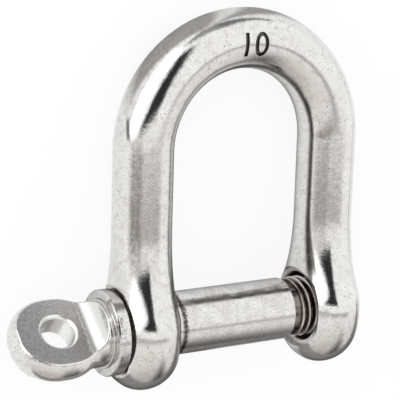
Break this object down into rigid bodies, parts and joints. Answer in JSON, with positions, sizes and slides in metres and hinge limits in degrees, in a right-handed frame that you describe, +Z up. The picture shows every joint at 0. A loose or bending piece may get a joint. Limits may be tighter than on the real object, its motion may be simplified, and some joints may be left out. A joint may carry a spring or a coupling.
{
  "type": "d-shackle",
  "caption": "Stainless D-shackle: a round bar bow with forged lugs, closed by a collared screw pin with a drilled eye.",
  "frame": {"origin": "on the pin's axis, midway between the two legs", "axes": "+X along the pin away from its eye, +Y from the pin towards the crown, +Z up, with the shackle lying on both lugs and the crown"},
  "size_m": [0.0597, 0.059, 0.0168],
  "materials": {
    "stainless_forged": "tumbled stainless, satin with bright shoulders",
    "stainless_turned": "turned stainless, satin, with matt milled flats"
  },
  "bodies": {
    "bow": {"bow": "stainless_forged"},
    "pin": {"screw_pin": "stainless_turned"}
  },
  "joints": [
    {"name": "pin_slide", "type": "slide", "parent": "bow", "child": "pin", "axis": [-1, 0, 0], "range_m": [0, 0.043]}
  ]
}
